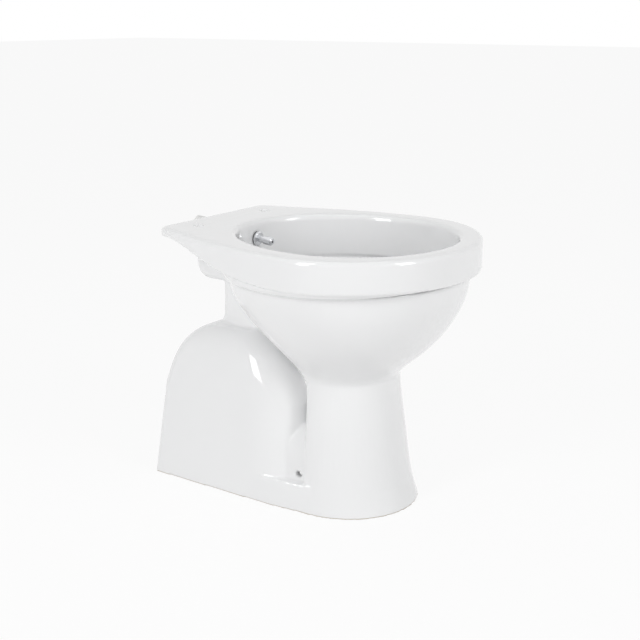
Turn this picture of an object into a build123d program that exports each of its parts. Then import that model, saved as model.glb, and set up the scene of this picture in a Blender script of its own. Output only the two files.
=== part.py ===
from build123d import *

import math
import os

# Floor-standing toilet pan with a fixed bidet nozzle, in millimetres.
# The front of the pan faces -Y, +Z is up, X = 0 is the plane of symmetry and the floor is Z = 0.

# Overall size
HEIGHT = 390.0
RIM_FRONT_Y = -235.0
RIM_HALF_WIDTH = 182.6
WIDEST_Y = -70.5
DECK_HALF_WIDTH = 118.6
DECK_BACK_Y = 205.0
FOOT_BACK_Y = 235.0

# Rim and deck
DECK_CORNER = 12.0
CORNER_SLOPE = 0.3
WIDE_REACH = 1.15
NARROW_SPREAD = 0.44
TOP_ROUND = 6.0
DECK_SLAB = 60.0
RIM_BACK_Y = 140.0
SKIRT_TAPER = 6.0
SKIRT_ROUND = 8.0
LEDGE_Z_AT_WIDEST = 336.2
LEDGE_SLOPE = 2.7
LIP_HALF_WIDTH = 147.0
LIP_WIDEST_Y = -59.5
LIP_FRONT_Y = -204.5
LIP_BACK_Y = 117.0
LIP_THICKNESS = 6.0
LIP_BOTTOM_Z = 327.0
LIP_ROUND = 7.0
CHANNEL_TOP_Z = 377.0
CHANNEL_BOTTOM_Z = 341.0
SKIRT_WALL = 11.0
SEAT_HOLE_SPACING = 155.0
SEAT_HOLE_Y = 163.0
SEAT_HOLE_R = 7.0

# Flush inlet, a housing under the deck
HORN_HALF_WIDTH = 43.0
HORN_FRONT_Y = 60.0
HORN_BACK_Y = 203.0
HORN_BOTTOM_Z = 300.0
HORN_CORNER = 24.0
HORN_EDGE_ROUND = 10.0
FLUSH_BORE_R = 27.5
FLUSH_BORE_Z = 331.0
FLUSH_BORE_DEPTH = 50.0
FLUSH_THROAT_R = 18.0
FLUSH_THROAT_END_Y = 100.0

# Neck, casing and foot
WALL = 11.0
NECK_FRONT_Y = 70.0
NECK_CORNER = 16.0
FOOT_HALF_WIDTH_BACK = 116.5
FOOT_HALF_WIDTH_FRONT = 112.0
FOOT_CURVE_START_Y = 55.0
FOOT_FRONT_Y = -156.5
FOOT_BLUNTNESS = 0.77
PLINTH_HEIGHT = 40.0
PLINTH_BACK_Y = 52.0
PLINTH_SIDE_INSET = 3.2
PLINTH_FRONT_INSET = 14.0
FIXING_HOLE_R = 5.0
FIXING_HOLE_Y = -27.5
FIXING_HOLE_Z = 51.0
PAD_HALF_WIDTH = 92.0
PAD_TOP_HALF_WIDTH = 62.0
PAD_FACE_Z = 66.0
PAD_TOP_Z = 120.0
PAD_LENGTH = 90.0

# Trap
TRAP_BORE_R = 35.0
TRAP_WALL = 9.0
SUMP_Y = -52.0
SUMP_Z = 112.0
SUMP_FLOOR_Z = 72.0
SUMP_SHELL_TOP_Z = 222.0
CREST_Y = 70.0
CREST_Z = 190.0
OUTLET_Y = 146.0
TRAP_STEPS = 14
OUTLET_R = 51.0
OUTLET_BOTTOM_Z = 10.0
OUTLET_TOP_Z = 74.0

# Nozzle, on an axis that falls towards the bowl
NOZZLE_TILT = 5.7
NOZZLE_WALL_Y = LIP_BACK_Y
NOZZLE_WALL_Z = 364.2
SHANK_R = 5.0
SHANK_BORE_R = 3.2
SHANK_HOLE_R = 6.5
FLANGE_R = 10.5
FLANGE_THICKNESS = 4.0
WASHER_R = 10.0
WASHER_THICKNESS = 2.0
TIP_LENGTH = 14.0
TIP_R = 6.2
BARREL_REACH = 26.0
NUT_ACROSS_FLATS = 22.0
NUT_THICKNESS = 9.0
G_HALF_THREAD_R = 10.48
CONNECTOR_LENGTH = 21.0
NUT_SEAT = 85.0
SEAT_R = 13.5
SEAT_CUT = 12.0

EDGE_ANGLES = (0.0, math.pi / 6, math.pi / 3, math.pi / 2)
QUARTER = 0.5523  # handle length of a cubic curve that draws a quarter of an ellipse
COLUMN = 0.82  # a longer handle, for the squarer back of the pedestal

# Outside of the pedestal, from the floor up to its waist:
# height, widest y, half width, front y, back y, and squareness of the back half
PEDESTAL_SECTIONS = [
    (0.0, -45.0, 105.0, FOOT_FRONT_Y, -28.0, COLUMN),
    (30.0, -45.0, 98.5, -146.0, -28.0, COLUMN),
    (90.0, -45.0, 91.5, -136.0, -28.0, COLUMN),
    (150.0, -45.0, 85.5, -127.5, -26.0, COLUMN),
    (188.0, -47.0, 81.5, -124.0, -20.0, COLUMN),
]

# Outside of the bowl, from the waist up, in the same order
BOWL_SECTIONS = [
    (186.0, -47.0, 81.0, -123.5, -14.0, 0.75),
    (198.0, -49.0, 84.5, -130.0, 2.0, 0.7),
    (210.0, -52.0, 94.0, -143.0, 18.0, 0.62),
    (235.0, -61.0, 118.0, -171.0, 50.0, 0.57),
    (259.0, -68.0, 138.0, -191.0, 79.5, QUARTER),
    (283.0, -71.0, 152.5, -205.5, 105.0, QUARTER),
    (306.0, -71.0, 161.5, -215.0, 123.0, QUARTER),
    (326.0, -70.5, 165.5, -219.0, 128.0, QUARTER),
    (346.0, -70.5, 167.0, -220.5, 130.0, QUARTER),
]

# Outside of the trap casing, from the floor up: height, front y, back y, half width at the front
# and at the back, width and length of the sweep at the front corner, and radius at the back corner.
# The walls are straight up to the second row, where the hump begins.
CASING_WALL_SECTIONS = [
    (0.0, -30.0, FOOT_BACK_Y, FOOT_HALF_WIDTH_FRONT, FOOT_HALF_WIDTH_BACK, 44.0, 85.0, 8.0),
    (148.0, -20.0, 220.0, 101.0, 104.5, 44.0, 80.0, 13.0),
]
CASING_HUMP_SECTIONS = [
    (148.0, -20.0, 220.0, 101.0, 104.5, 44.0, 80.0, 13.0),
    (185.0, 2.0, 211.5, 97.0, 100.5, 44.0, 66.0, 23.0),
    (209.0, 26.0, 201.0, 91.0, 94.0, 40.0, 52.0, 28.0),
    (227.0, 52.0, 184.0, 80.0, 82.0, 34.0, 38.0, 28.0),
    (238.0, 78.0, 158.0, 60.0, 62.0, 22.0, 24.0, 22.0),
]

# Neck from the hump up to the flush inlet: height, half width and back y
NECK_SECTIONS = [
    (222.0, 56.0, 172.0),
    (233.0, 47.0, 161.0),
    (248.0, 42.5, 155.0),
    (312.0, 42.0, 154.0),
]

# Inside of the bowl, from the sump up, in the order of the bowl's outside
BASIN_SECTIONS = [
    (SUMP_FLOOR_Z, -52.0, 36.0, -88.0, -16.0, QUARTER),
    (120.0, -52.0, 44.0, -96.0, -8.0, QUARTER),
    (175.0, -52.0, 55.0, -104.0, 0.0, QUARTER),
    (222.0, -58.0, 88.0, -139.0, 20.0, QUARTER),
    (259.0, -66.0, 122.0, -175.0, 62.0, QUARTER),
    (284.0, -69.0, 139.0, -193.0, 88.0, QUARTER),
    (306.0, -70.0, 149.0, -204.0, 107.0, QUARTER),
    (324.0, -70.0, 154.5, -210.0, 117.5, QUARTER),
    (346.0, -70.0, 157.0, -212.5, 121.5, QUARTER),
]


def oval(z, widest_y, half_width, front_y, back_y, squareness=QUARTER):
    """A closed egg-shaped face at height z, made of four curved quarters."""
    front = widest_y - front_y
    back = back_y - widest_y
    edges = []
    for side in (1, -1):
        w = side * half_width
        edges.append(
            Bezier(
                (0, front_y, z),
                (w * QUARTER, front_y, z),
                (w, widest_y - front * QUARTER, z),
                (w, widest_y, z),
            )
        )
        edges.append(
            Bezier(
                (w, widest_y, z),
                (w, widest_y + back * squareness, z),
                (w * squareness, back_y, z),
                (0, back_y, z),
            )
        )
    right_front, right_back, left_front, left_back = edges
    return make_face([right_front, right_back, left_back, left_front])


def grown(section, growth):
    """The same section with its outline moved outwards by growth."""
    z, widest_y, half_width, front_y, back_y, squareness = section
    return (z, widest_y, half_width + growth, front_y - growth, back_y + growth, squareness)


def loft_ovals(sections, growth=0.0):
    return loft([oval(*grown(s, growth)) for s in sections])


def below(sections, z):
    return [s for s in sections if s[0] <= z]


def straight_oval(z_low, z_high, half_width, widest_y, front_y, back_y):
    face = oval(z_low, widest_y, half_width, front_y, back_y)
    return extrude(face, amount=z_high - z_low, dir=(0, 0, 1))


def plan_outline(z, inset=0.0):
    """The rim and seat deck seen from above."""
    front_y = RIM_FRONT_Y + inset
    back_y = DECK_BACK_Y - inset
    wide = RIM_HALF_WIDTH - inset
    narrow = DECK_HALF_WIDTH - inset
    corner = DECK_CORNER - inset / 2
    reach = (back_y - WIDEST_Y) / 3
    right = [
        Bezier(
            (0, front_y, z),
            (wide * QUARTER, front_y, z),
            (wide, WIDEST_Y - (WIDEST_Y - front_y) * QUARTER, z),
            (wide, WIDEST_Y, z),
        ),
        Bezier(
            (wide, WIDEST_Y, z),
            (wide, WIDEST_Y + WIDE_REACH * reach, z),
            (narrow + NARROW_SPREAD * (wide - narrow), back_y - reach, z),
            (narrow + corner * CORNER_SLOPE, back_y - corner, z),
        ),
        Bezier(
            (narrow + corner * CORNER_SLOPE, back_y - corner, z),
            (narrow, back_y - corner * (1 - QUARTER), z),
            (narrow - corner * (1 - QUARTER), back_y, z),
            (narrow - corner, back_y, z),
        ),
        Line((narrow - corner, back_y, z), (0, back_y, z)),
    ]
    left = [mirror(edge, Plane.YZ) for edge in right]
    return make_face(right + left)


def upright_edges(solid, y):
    """The vertical corner edges of a solid that stand on the plane at y."""
    return [e for e in solid.edges().filter_by(Axis.Z) if abs(e.center().Y - y) < 1.0]


def seat_deck():
    """The flat top with the deck behind the bowl, whose underside drops towards the rim."""
    straight_top = HEIGHT - TOP_ROUND
    slab = extrude(plan_outline(straight_top), amount=TOP_ROUND - DECK_SLAB)
    rounded = [
        plan_outline(straight_top + TOP_ROUND * math.sin(angle), TOP_ROUND * (1 - math.cos(angle)))
        for angle in EDGE_ANGLES
    ]
    slab += loft(rounded, ruled=True)
    under = Spline(
        (0, DECK_BACK_Y + 5, 376.5),
        (0, 124, 369),
        (0, 90, 361),
        (0, 30, 350),
        (0, -60, 345),
        (0, RIM_FRONT_Y - 5, 345),
    )
    floor = Polyline(
        (0, RIM_FRONT_Y - 5, 345),
        (0, RIM_FRONT_Y - 5, 300),
        (0, DECK_BACK_Y + 5, 300),
        (0, DECK_BACK_Y + 5, 376.5),
    )
    cut = extrude(make_face([under] + list(floor.edges())), amount=250, dir=(1, 0, 0), both=True)
    return slab - cut


def rim_skirt():
    """The outside wall of the rim, which narrows a little to a rounded, sloping lower edge."""
    section = (0.0, WIDEST_Y, RIM_HALF_WIDTH, RIM_FRONT_Y, RIM_BACK_Y, QUARTER)
    upper = Pos(0, 0, HEIGHT - 2 * TOP_ROUND) * oval(*section)
    lower = Pos(0, 0, LEDGE_Z_AT_WIDEST - 20) * oval(*grown(section, -SKIRT_TAPER))
    wall = loft([lower, upper], ruled=True)
    ledge = Location((0, WIDEST_Y, LEDGE_Z_AT_WIDEST), (-LEDGE_SLOPE, 0, 0))
    wall -= ledge * Pos(0, 0, -50) * Box(500, 600, 100)
    return fillet(wall.edges().group_by(Axis.Z)[0], SKIRT_ROUND)


def horn():
    """The housing under the deck that carries the flush water to the rim."""
    length = HORN_BACK_Y - HORN_FRONT_Y
    height = HEIGHT - 8 - HORN_BOTTOM_Z
    block = Pos(0, HORN_FRONT_Y + length / 2, HORN_BOTTOM_Z + height / 2) * Box(
        2 * HORN_HALF_WIDTH, length, height
    )
    low_back = [
        e
        for e in block.edges().filter_by(Axis.X)
        if e.center().Y > HORN_BACK_Y - 1 and e.center().Z < HORN_BOTTOM_Z + 1
    ]
    block = fillet(low_back, HORN_CORNER)
    low_sides = [e for e in block.edges().filter_by(Axis.Y) if e.center().Z < HORN_BOTTOM_Z + 1]
    return fillet(low_sides, HORN_EDGE_ROUND)


def neck():
    """The upright column behind the bowl, which flares out onto the hump of the casing."""
    slices = []
    for z, half_width, back_y in NECK_SECTIONS:
        slices.append(
            casing_outline(
                z, NECK_FRONT_Y, back_y, half_width, half_width, NECK_CORNER, NECK_CORNER, NECK_CORNER
            )
        )
    return loft(slices, ruled=True)


def casing_outline(z, front_y, back_y, front_width, back_width, sweep_x, sweep_y, corner):
    """A level slice of the trap casing: wide sweeps at the front, tight corners at the back."""
    right = [
        Line((0, front_y, z), (front_width - sweep_x, front_y, z)),
        Bezier(
            (front_width - sweep_x, front_y, z),
            (front_width - sweep_x * (1 - QUARTER), front_y, z),
            (front_width, front_y + sweep_y * (1 - QUARTER), z),
            (front_width, front_y + sweep_y, z),
        ),
        Line((front_width, front_y + sweep_y, z), (back_width, back_y - corner, z)),
        Bezier(
            (back_width, back_y - corner, z),
            (back_width, back_y - corner * (1 - QUARTER), z),
            (back_width - corner * (1 - QUARTER), back_y, z),
            (back_width - corner, back_y, z),
        ),
        Line((back_width - corner, back_y, z), (0, back_y, z)),
    ]
    left = [mirror(edge, Plane.YZ) for edge in right]
    return make_face(right + left)


def inset_slice(section, inset):
    """A slice of the casing whose outline is moved inwards and down by inset."""
    z, front_y, back_y, front_width, back_width, sweep_x, sweep_y, corner = section
    return casing_outline(
        max(0.0, z - inset),
        front_y + inset,
        back_y - inset,
        front_width - inset,
        back_width - inset,
        sweep_x - inset / 2,
        sweep_y - inset / 2,
        max(1.0, corner - inset / 2),
    )


def casing(inset=0.0):
    """The arched housing of the trap, with leaning sides and a rounded hump."""
    walls = loft([inset_slice(s, inset) for s in CASING_WALL_SECTIONS], ruled=True)
    hump = loft([inset_slice(s, inset) for s in CASING_HUMP_SECTIONS])
    return walls + hump


def foot_outline(z, inset=0.0, front_inset=0.0):
    """The outline of the foot, nearly straight along the casing and blunt at the front."""
    front_y = FOOT_FRONT_Y + front_inset
    back_y = FOOT_BACK_Y - inset - 2
    side = FOOT_HALF_WIDTH_FRONT - inset
    back = FOOT_HALF_WIDTH_BACK - inset
    reach = FOOT_CURVE_START_Y - front_y
    right = [
        Bezier(
            (0, front_y, z),
            (side * FOOT_BLUNTNESS, front_y, z),
            (side, FOOT_CURVE_START_Y - reach * QUARTER, z),
            (side, FOOT_CURVE_START_Y, z),
        ),
        Line((side, FOOT_CURVE_START_Y, z), (back, back_y, z)),
        Line((back, back_y, z), (0, back_y, z)),
    ]
    left = [mirror(edge, Plane.YZ) for edge in right]
    return make_face(right + left)


def plinth():
    """The low band all round the foot, which closes the groove on each side at the floor."""
    top = foot_outline(PLINTH_HEIGHT, PLINTH_SIDE_INSET, PLINTH_FRONT_INSET)
    band = loft([foot_outline(0), top], ruled=True)
    behind = Pos(0, FOOT_BACK_Y, 0) * Box(400, 2 * (FOOT_BACK_Y - PLINTH_BACK_Y), 200)
    return band - behind


def fixing_pad(inset=0.0):
    """The shoulder that closes the bottom of the groove on each side and takes a floor screw."""
    half_width = PAD_HALF_WIDTH - inset
    top_half_width = PAD_TOP_HALF_WIDTH - inset
    face_z = PAD_FACE_Z - inset
    top_z = PAD_TOP_Z - inset
    shoulder = Bezier(
        (half_width, face_z),
        (half_width, face_z + (top_z - face_z) * QUARTER),
        (top_half_width + (half_width - top_half_width) * QUARTER, top_z),
        (top_half_width, top_z),
    )
    right = [Line((0, 0), (half_width, 0)), Line((half_width, 0), (half_width, face_z)), shoulder]
    right.append(Line((top_half_width, top_z), (0, top_z)))
    left = [mirror(edge, Plane.YZ) for edge in right]
    return extrude(Plane.XZ * make_face(right + left), amount=PAD_LENGTH / 2, both=True)


def trap_path():
    """The centre line of the S-trap, from the sump over the weir and down to the floor."""
    smooth = FilletPolyline(
        (0, SUMP_Y, SUMP_Z),
        (0, 8, SUMP_Z),
        (0, CREST_Y - 16, CREST_Z),
        (0, OUTLET_Y, CREST_Z),
        (0, OUTLET_Y, OUTLET_BOTTOM_Z),
        radius=(48, 48, 46),
    )
    return Polyline(*[smooth @ (step / TRAP_STEPS) for step in range(TRAP_STEPS + 1)])


def trap_tube(radius):
    """A tube along the trap, of short straight lengths mitred together."""
    path = trap_path()
    start = Plane(origin=path @ 0, z_dir=path % 0)
    return sweep(start * Circle(radius), path=path, transition=Transition.RIGHT)


def foot_hollow():
    """The space inside the pedestal, the casing and the plinth, open at the floor."""
    column = loft_ovals(below(PEDESTAL_SECTIONS, 150.0), -WALL)
    return column + casing(WALL) + fixing_pad(WALL)


def nozzle_axis(distance):
    """A plane square to the nozzle, at a distance behind the face of the rim wall."""
    tilt = math.radians(NOZZLE_TILT)
    origin = (
        0,
        NOZZLE_WALL_Y + distance * math.cos(tilt),
        NOZZLE_WALL_Z + distance * math.sin(tilt),
    )
    return Plane(origin=origin, x_dir=(1, 0, 0), z_dir=(0, math.cos(tilt), math.sin(tilt)))


def on_axis(start, end, radius, hole=0.0):
    """A round piece on the nozzle axis between two distances."""
    profile = Circle(radius)
    if hole:
        profile -= Circle(hole)
    return extrude(nozzle_axis(start) * profile, amount=end - start)


def pan():
    outer = seat_deck() + rim_skirt() + horn() + neck() + casing() + plinth() + fixing_pad()
    outer += loft_ovals(PEDESTAL_SECTIONS)
    outer += loft_ovals(BOWL_SECTIONS)
    shell = outer - foot_hollow()
    sump_wall = below(BASIN_SECTIONS, SUMP_SHELL_TOP_Z)
    sump_bottom = (SUMP_FLOOR_Z - TRAP_WALL,) + sump_wall[0][1:]
    shell += loft_ovals([sump_bottom] + sump_wall[1:], TRAP_WALL)
    shell += trap_tube(TRAP_BORE_R + TRAP_WALL)
    outlet_height = OUTLET_TOP_Z - OUTLET_BOTTOM_Z
    outlet_z = OUTLET_BOTTOM_Z + outlet_height / 2
    shell += Pos(0, OUTLET_Y, outlet_z) * Cylinder(OUTLET_R, outlet_height)
    shell -= loft_ovals(BASIN_SECTIONS)
    shell -= trap_tube(TRAP_BORE_R)
    shell -= straight_oval(
        CHANNEL_BOTTOM_Z,
        CHANNEL_TOP_Z,
        RIM_HALF_WIDTH - SKIRT_WALL,
        WIDEST_Y,
        RIM_FRONT_Y + SKIRT_WALL,
        RIM_BACK_Y - SKIRT_WALL,
    )
    shell += straight_oval(
        LIP_BOTTOM_Z,
        HEIGHT - TOP_ROUND,
        LIP_HALF_WIDTH + LIP_THICKNESS,
        LIP_WIDEST_Y,
        LIP_FRONT_Y - LIP_THICKNESS,
        LIP_BACK_Y + LIP_THICKNESS,
    )
    shell -= straight_oval(
        LIP_BOTTOM_Z - 1, HEIGHT + 5, LIP_HALF_WIDTH, LIP_WIDEST_Y, LIP_FRONT_Y, LIP_BACK_Y
    )
    rounded = []
    for angle in EDGE_ANGLES:
        spread = LIP_ROUND * (1 - math.cos(angle))
        rounded.append(
            oval(
                HEIGHT - LIP_ROUND + LIP_ROUND * math.sin(angle),
                LIP_WIDEST_Y,
                LIP_HALF_WIDTH + spread,
                LIP_FRONT_Y - spread,
                LIP_BACK_Y + spread,
            )
        )
    shell -= loft(rounded, ruled=True)
    bore = Pos(0, HORN_BACK_Y, FLUSH_BORE_Z) * Rot(90, 0, 0)
    shell -= bore * Cylinder(FLUSH_BORE_R, 2 * FLUSH_BORE_DEPTH)
    throat = HORN_BACK_Y - FLUSH_THROAT_END_Y
    shell -= Pos(0, HORN_BACK_Y - throat / 2, FLUSH_BORE_Z) * Rot(90, 0, 0) * Cylinder(
        FLUSH_THROAT_R, throat
    )
    for side in (1, -1):
        x = side * SEAT_HOLE_SPACING / 2
        shell -= Pos(x, SEAT_HOLE_Y, HEIGHT) * Cylinder(SEAT_HOLE_R, 80)
        drill = Pos(side * 100, FIXING_HOLE_Y, FIXING_HOLE_Z) * Rot(0, 90, 0)
        shell -= drill * Cylinder(FIXING_HOLE_R, 90)
    shell -= on_axis(-20, 120, SHANK_HOLE_R)
    shell -= on_axis(-SEAT_CUT, 0, SEAT_R)
    shell -= on_axis(NUT_SEAT, NUT_SEAT + SEAT_CUT, SEAT_R)
    return shell


def nozzle_barrel():
    """The long tube that runs through the china and carries the water to the tip."""
    end = NUT_SEAT + WASHER_THICKNESS + NUT_THICKNESS + CONNECTOR_LENGTH
    return on_axis(-BARREL_REACH, end, SHANK_R, SHANK_BORE_R)


def nozzle_tip():
    """The rounded outlet cap, with one jet hole through its end."""
    start = -BARREL_REACH - 4
    cap = on_axis(start, start + TIP_LENGTH, TIP_R)
    front_edge = cap.edges().sort_by(Axis.Y)[0]
    cap = chamfer(front_edge, 2.2)
    cap -= on_axis(-BARREL_REACH, start + TIP_LENGTH + 1, SHANK_R)
    return cap - on_axis(start - 1, -BARREL_REACH + 1, 1.6)


def nozzle_flange():
    """The domed plate that covers the hole in the rim wall."""
    near = -WASHER_THICKNESS - FLANGE_THICKNESS
    plate = on_axis(near, -WASHER_THICKNESS, FLANGE_R)
    plate = chamfer(plate.edges().sort_by(Axis.Y)[0], 1.6)
    return plate - on_axis(near - 1, 1, SHANK_R)


def washer(start):
    return on_axis(start, start + WASHER_THICKNESS, WASHER_R, SHANK_R)


def back_nut():
    start = NUT_SEAT + WASHER_THICKNESS
    profile = RegularPolygon(NUT_ACROSS_FLATS / 2, 6, major_radius=False) - Circle(SHANK_R)
    return extrude(nozzle_axis(start) * profile, amount=NUT_THICKNESS)


def supply_connector():
    """The threaded end that takes the water supply."""
    start = NUT_SEAT + WASHER_THICKNESS + NUT_THICKNESS
    return on_axis(start, start + CONNECTOR_LENGTH, G_HALF_THREAD_R, SHANK_R)


PIECES = {
    "pan": pan(),
    "nozzle_barrel": nozzle_barrel(),
    "nozzle_tip": nozzle_tip(),
    "nozzle_flange": nozzle_flange(),
    "front_washer": washer(-WASHER_THICKNESS),
    "rear_washer": washer(NUT_SEAT),
    "back_nut": back_nut(),
    "supply_connector": supply_connector(),
}

os.makedirs("parts", exist_ok=True)
for name, solid in PIECES.items():
    export_step(solid, f"parts/{name}.step")
    box = solid.bounding_box()
    print(name, len(solid.solids()), solid.is_valid, round(solid.volume), box.min, box.max)
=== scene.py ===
# %% [markdown]
# # A bidet toilet pan in glazed china
#
# The construction already exists as imported solids at their real size. This file gives them their
# looks. Loading the frame brings in one mesh object for each solid, with its place in its vertices,
# so nothing has to be moved by hand.

import bmesh
import bpy
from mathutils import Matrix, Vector


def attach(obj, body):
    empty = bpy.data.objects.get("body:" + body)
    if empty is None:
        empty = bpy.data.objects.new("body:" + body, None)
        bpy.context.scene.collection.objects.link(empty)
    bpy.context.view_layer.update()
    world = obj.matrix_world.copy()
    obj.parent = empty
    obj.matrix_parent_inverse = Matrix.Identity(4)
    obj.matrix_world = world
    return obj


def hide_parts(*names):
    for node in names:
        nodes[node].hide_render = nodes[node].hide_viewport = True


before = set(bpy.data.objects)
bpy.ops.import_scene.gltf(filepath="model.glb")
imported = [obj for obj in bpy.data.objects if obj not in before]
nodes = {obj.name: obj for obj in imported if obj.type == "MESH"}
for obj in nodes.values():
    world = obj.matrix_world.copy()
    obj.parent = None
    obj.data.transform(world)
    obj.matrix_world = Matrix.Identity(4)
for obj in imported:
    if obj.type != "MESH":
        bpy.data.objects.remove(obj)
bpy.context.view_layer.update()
print("nodes:", sorted(nodes))

# %% [markdown]
# ## The camera
#
# A product photograph is usually taken from a little above with a long lens, so that the sides stay
# nearly parallel. The place, direction and lens here were worked out from the corners and curves of
# the pan in the photograph, so the model fills the same part of the picture. A camera looks along
# its own -Z, and `to_track_quat` turns that axis onto a direction.

# %% Place the camera
CAMERA_PLACE = Vector((-1.2729, -0.9165, 0.6929))
CAMERA_DIRECTION = Vector((0.78157, 0.56302, -0.26863))
LENS_MM = 62.61
SENSOR_MM = 36.0

camera_data = bpy.data.cameras.new("camera")
camera_data.lens = LENS_MM
camera_data.sensor_width = SENSOR_MM
camera = bpy.data.objects.new("camera", camera_data)
camera.location = CAMERA_PLACE
camera.rotation_mode = "QUATERNION"
camera.rotation_quaternion = CAMERA_DIRECTION.to_track_quat("-Z", "Y")
bpy.context.scene.collection.objects.link(camera)
bpy.context.scene.camera = camera
print("camera distance:", round(CAMERA_PLACE.length, 3), "m")

# %% [markdown]
# ## Helpers for node materials
#
# Every material starts as a Principled shader. A value that is the same everywhere is set on the
# shader's own socket. Only what changes over the surface is linked from texture nodes, and those
# read Object coordinates, so that a pattern stays put on the piece whichever way it is seen.


# %% Start a material
def new_material(name, **values):
    """A Principled material with constant values on its sockets."""
    material = bpy.data.materials.new(name)
    material.use_nodes = True
    shader = material.node_tree.nodes["Principled BSDF"]
    for socket, value in values.items():
        shader.inputs[socket.replace("_", " ")].default_value = value
    return material, material.node_tree, shader


def noise(tree, scale, detail=2.0):
    """A noise texture on Object coordinates."""
    place = tree.nodes.new("ShaderNodeTexCoord")
    texture = tree.nodes.new("ShaderNodeTexNoise")
    texture.inputs["Scale"].default_value = scale
    texture.inputs["Detail"].default_value = detail
    tree.links.new(place.outputs["Object"], texture.inputs["Vector"])
    return texture


def vary_roughness(tree, shader, texture, low, high):
    """Roughness that wanders between two values."""
    spread = tree.nodes.new("ShaderNodeMapRange")
    spread.inputs["To Min"].default_value = low
    spread.inputs["To Max"].default_value = high
    tree.links.new(texture.outputs["Fac"], spread.inputs["Value"])
    tree.links.new(spread.outputs["Result"], shader.inputs["Roughness"])


def vary_colour(tree, factor, low, high):
    """A colour ramp between two colours."""
    ramp = tree.nodes.new("ShaderNodeValToRGB")
    ramp.color_ramp.elements[0].color = (*low, 1.0)
    ramp.color_ramp.elements[1].color = (*high, 1.0)
    tree.links.new(factor, ramp.inputs["Fac"])
    return ramp.outputs["Color"]


def add_bump(tree, shader, texture, strength, distance):
    """Small height differences from a texture."""
    bump = tree.nodes.new("ShaderNodeBump")
    bump.inputs["Strength"].default_value = strength
    bump.inputs["Distance"].default_value = distance
    tree.links.new(texture.outputs["Fac"], bump.inputs["Height"])
    tree.links.new(bump.outputs["Normal"], shader.inputs["Normal"])


print("material helpers ready")

# %% [markdown]
# ## The floor and the white surroundings
#
# The photograph has a pure white background. Turning the lamps up until the floor clips would wash
# out the white glaze as well. Instead the floor and the world show white only to rays that come
# from the camera or from a reflection, and light the pan at a plain level. The floor keeps part of
# its ordinary shading, so the pan still has a soft shadow to stand on.

# %% Make the floor and the world
FLOOR_SIZE = 40.0
FLOOR_OWN_SHADING = 0.1
FLOOR_ROUGHNESS = 0.9
FLOOR_GRAIN = 6.0
FLOOR_LOW = (0.88, 0.88, 0.88)
FLOOR_HIGH = (0.92, 0.92, 0.92)
WORLD_LIGHT = 0.39


def seen_directly(tree):
    """A value of 1 for rays from the camera, from reflections and through glass."""
    path = tree.nodes.new("ShaderNodeLightPath")
    either = tree.nodes.new("ShaderNodeMath")
    either.operation = "ADD"
    every = tree.nodes.new("ShaderNodeMath")
    every.operation = "ADD"
    every.use_clamp = True
    tree.links.new(path.outputs["Is Camera Ray"], either.inputs[0])
    tree.links.new(path.outputs["Is Glossy Ray"], either.inputs[1])
    tree.links.new(either.outputs[0], every.inputs[0])
    tree.links.new(path.outputs["Is Transmission Ray"], every.inputs[1])
    return every.outputs[0]


def floor_material():
    material, tree, shader = new_material("floor", Roughness=FLOOR_ROUGHNESS)
    grain = noise(tree, FLOOR_GRAIN)
    colour = vary_colour(tree, grain.outputs["Fac"], FLOOR_LOW, FLOOR_HIGH)
    tree.links.new(colour, shader.inputs["Base Color"])
    glow = tree.nodes.new("ShaderNodeEmission")
    share = tree.nodes.new("ShaderNodeMath")
    share.operation = "MULTIPLY"
    share.inputs[1].default_value = 1.0 - FLOOR_OWN_SHADING
    tree.links.new(seen_directly(tree), share.inputs[0])
    mix = tree.nodes.new("ShaderNodeMixShader")
    tree.links.new(share.outputs[0], mix.inputs["Fac"])
    tree.links.new(shader.outputs[0], mix.inputs[1])
    tree.links.new(glow.outputs[0], mix.inputs[2])
    tree.links.new(mix.outputs[0], tree.nodes["Material Output"].inputs["Surface"])
    return material


floor_mesh = bpy.data.meshes.new("floor")
shape = bmesh.new()
bmesh.ops.create_grid(shape, x_segments=1, y_segments=1, size=FLOOR_SIZE / 2)
shape.to_mesh(floor_mesh)
shape.free()
floor = bpy.data.objects.new("floor", floor_mesh)
floor.data.materials.append(floor_material())
bpy.context.scene.collection.objects.link(floor)

world = bpy.data.worlds.new("studio")
bpy.context.scene.world = world
world.use_nodes = True
sky = world.node_tree
level = sky.nodes.new("ShaderNodeMapRange")
level.inputs["To Min"].default_value = WORLD_LIGHT
level.inputs["To Max"].default_value = 1.0
sky.links.new(seen_directly(sky), level.inputs["Value"])
sky.links.new(level.outputs["Result"], sky.nodes["Background"].inputs["Strength"])
sky.nodes["Background"].inputs["Color"].default_value = (1.0, 1.0, 1.0, 1.0)
bpy.context.scene.view_settings.view_transform = "Standard"
print("floor", FLOOR_SIZE, "m, world light", WORLD_LIGHT)

# %% [markdown]
# ## Studio lamps
#
# Glazed china is mostly seen by what it reflects. The photograph shows thin bright lines along the
# rounded edges, which are large soft boxes. An area lamp is such a soft box: its shape shows in the
# glaze, and its size makes the shadows soft. The side boxes do most of the work. They reach over
# the near rim into the bowl, and only graze the deck, which looks no lighter than the sides.


# %% Hang the soft boxes
LAMP_TARGET = Vector((0.0, 0.0, 0.2))
TOP_SIZE = (1.6, 1.6)
SIDE_SIZE = (0.5, 1.6)
FRONT_SIZE = (0.6, 1.6)
TOP_WATTS = 5.0
SIDE_WATTS = 22.0
FRONT_WATTS = 21.0


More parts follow.
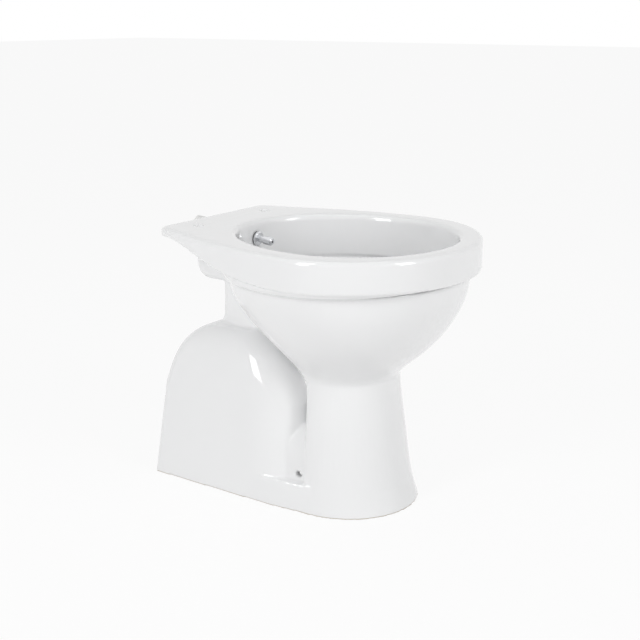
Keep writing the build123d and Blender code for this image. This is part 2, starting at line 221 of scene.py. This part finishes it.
def soft_box(name, place, size, watts):
    """An area lamp that faces the middle of the pan."""
    data = bpy.data.lights.new(name, "AREA")
    data.shape = "RECTANGLE"
    data.size, data.size_y = size
    data.energy = watts
    lamp = bpy.data.objects.new(name, data)
    lamp.location = place
    lamp.rotation_mode = "QUATERNION"
    lamp.rotation_quaternion = (LAMP_TARGET - lamp.location).to_track_quat("-Z", "Y")
    bpy.context.scene.collection.objects.link(lamp)
    return lamp


soft_box("top_box", Vector((0.2, 0.2, 2.6)), TOP_SIZE, TOP_WATTS)
soft_box("left_box", Vector((-2.25, 0.35, 1.25)), SIDE_SIZE, SIDE_WATTS)
soft_box("front_box", Vector((-0.2, -2.4, 1.3)), FRONT_SIZE, FRONT_WATTS)

# %% [markdown]
# ## The china pan
#
# Clay has no sharp corners: where two walls meet, the slip rounds the joint, and the glaze rounds it
# again. The solid has crisp joins in places, so the visible pan is a copy of its mesh. A voxel
# remesh turns the copy into one even skin, a few smoothing steps let the joins flow as the glaze
# does while the ledge under the rim stays sharp, and a decimate step removes the faces that the
# flat parts don't need. The CAD mesh itself is loose
# triangles, so its doubles are merged first.

# %% Soften a copy of the pan
MERGE_DISTANCE = 0.00002
VOXEL = 0.0019
SMOOTH_STEPS = 4
SMOOTH_FACTOR = 0.5
MOST_TRIANGLES = 180000


def apply_modifiers(piece):
    """Turns a piece's modifiers into plain mesh."""
    graph = bpy.context.evaluated_depsgraph_get()
    made = bpy.data.meshes.new_from_object(piece.evaluated_get(graph))
    piece.modifiers.clear()
    piece.data = made


pan_mesh = nodes["pan"].data.copy()
shape = bmesh.new()
shape.from_mesh(pan_mesh)
bmesh.ops.remove_doubles(shape, verts=shape.verts, dist=MERGE_DISTANCE)
shape.to_mesh(pan_mesh)
shape.free()
pan = bpy.data.objects.new("china_pan", pan_mesh)
bpy.context.scene.collection.objects.link(pan)
remesh = pan.modifiers.new("even_skin", "REMESH")
remesh.mode = "VOXEL"
remesh.voxel_size = VOXEL
soften = pan.modifiers.new("soften", "SMOOTH")
soften.factor = SMOOTH_FACTOR
soften.iterations = SMOOTH_STEPS
apply_modifiers(pan)
triangles = 2 * len(pan.data.polygons)
thin = pan.modifiers.new("thin_out", "DECIMATE")
thin.ratio = min(1.0, MOST_TRIANGLES / triangles)
apply_modifiers(pan)
pan.data.shade_smooth()
for vertex in pan.data.vertices:
    vertex.co.z = max(0.0, vertex.co.z)
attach(pan, "root")
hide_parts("pan")
print("pan:", triangles, "triangles before,", len(pan.data.polygons), "after")

# %% [markdown]
# ## The glaze
#
# Sanitary glaze is a thin glass over white clay. It is almost white, a touch cool, very smooth, and
# slightly uneven, which makes long reflections waver. The same material leaves the underside of the
# foot unglazed, because the pan stands on it in the kiln: below a small height the colour turns to
# bare clay and the gloss goes.

# %% Glaze the pan
UNGLAZED_BELOW = 0.0015
GLAZE_LOW = (0.885, 0.888, 0.893)
GLAZE_HIGH = (0.905, 0.908, 0.912)
CLAY = (0.62, 0.57, 0.50)
CLOUD_SCALE = 9.0
WAVER_SCALE = 28.0
GLOSS_SMOOTHEST = 0.05
GLOSS_ROUGHEST = 0.10


def glaze_material():
    material, tree, shader = new_material("white_glaze", IOR=1.5, Coat_Weight=0.35, Coat_Roughness=0.03)
    cloud = noise(tree, CLOUD_SCALE, 3.0)
    glazed = vary_colour(tree, cloud.outputs["Fac"], GLAZE_LOW, GLAZE_HIGH)
    place = tree.nodes.new("ShaderNodeTexCoord")
    split = tree.nodes.new("ShaderNodeSeparateXYZ")
    tree.links.new(place.outputs["Object"], split.inputs["Vector"])
    bare = tree.nodes.new("ShaderNodeMath")
    bare.operation = "LESS_THAN"
    bare.inputs[1].default_value = UNGLAZED_BELOW
    tree.links.new(split.outputs["Z"], bare.inputs[0])
    clay = tree.nodes.new("ShaderNodeMix")
    clay.data_type = "RGBA"
    colour_inputs = [s for s in clay.inputs if s.type == "RGBA"]
    colour_inputs[1].default_value = (*CLAY, 1.0)
    colour_output = [s for s in clay.outputs if s.type == "RGBA"][0]
    tree.links.new(bare.outputs[0], clay.inputs["Factor"])
    tree.links.new(glazed, colour_inputs[0])
    tree.links.new(colour_output, shader.inputs["Base Color"])
    gloss = tree.nodes.new("ShaderNodeMapRange")
    gloss.inputs["To Min"].default_value = GLOSS_SMOOTHEST
    gloss.inputs["To Max"].default_value = GLOSS_ROUGHEST
    tree.links.new(cloud.outputs["Fac"], gloss.inputs["Value"])
    rough = tree.nodes.new("ShaderNodeMath")
    rough.operation = "ADD"
    rough.use_clamp = True
    tree.links.new(gloss.outputs["Result"], rough.inputs[0])
    tree.links.new(bare.outputs[0], rough.inputs[1])
    tree.links.new(rough.outputs[0], shader.inputs["Roughness"])
    add_bump(tree, shader, noise(tree, WAVER_SCALE), 0.05, 0.002)
    return material


pan.data.materials.clear()
pan.data.materials.append(glaze_material())
print("glaze on", pan.name)

# %% [markdown]
# ## The nozzle and its fittings
#
# The nozzle is chrome-plated brass: fully metallic, very smooth, with faint wiping marks. Its
# washers are black rubber, matte and slightly grainy. The nut and the supply end behind the deck
# look white in the photograph, so they are moulded plastic.


# %% Finish the fittings
def chrome_material():
    material, tree, shader = new_material("chrome", Metallic=1.0)
    texture = noise(tree, 300.0, 3.0)
    colour = vary_colour(tree, texture.outputs["Fac"], (0.66, 0.67, 0.69), (0.8, 0.81, 0.83))
    tree.links.new(colour, shader.inputs["Base Color"])
    vary_roughness(tree, shader, texture, 0.05, 0.14)
    add_bump(tree, shader, noise(tree, 700.0), 0.05, 0.0002)
    return material


def rubber_material():
    material, tree, shader = new_material("black_rubber")
    texture = noise(tree, 900.0, 4.0)
    colour = vary_colour(tree, texture.outputs["Fac"], (0.02, 0.02, 0.02), (0.05, 0.05, 0.05))
    tree.links.new(colour, shader.inputs["Base Color"])
    vary_roughness(tree, shader, texture, 0.6, 0.85)
    add_bump(tree, shader, texture, 0.3, 0.0002)
    return material


def plastic_material():
    material, tree, shader = new_material("white_plastic", IOR=1.46)
    texture = noise(tree, 400.0, 3.0)
    colour = vary_colour(tree, texture.outputs["Fac"], (0.78, 0.78, 0.77), (0.85, 0.85, 0.84))
    tree.links.new(colour, shader.inputs["Base Color"])
    vary_roughness(tree, shader, texture, 0.28, 0.42)
    add_bump(tree, shader, texture, 0.15, 0.0002)
    return material


def finish_nodes(names, material):
    """Puts one material on every slot of the named solids."""
    for name in names:
        for slot in nodes[name].material_slots:
            slot.link = "OBJECT"
            slot.material = material
        print(name, "->", material.name)


finish_nodes(["nozzle_barrel", "nozzle_tip", "nozzle_flange"], chrome_material())
finish_nodes(["front_washer", "rear_washer"], rubber_material())
finish_nodes(["back_nut", "supply_connector"], plastic_material())
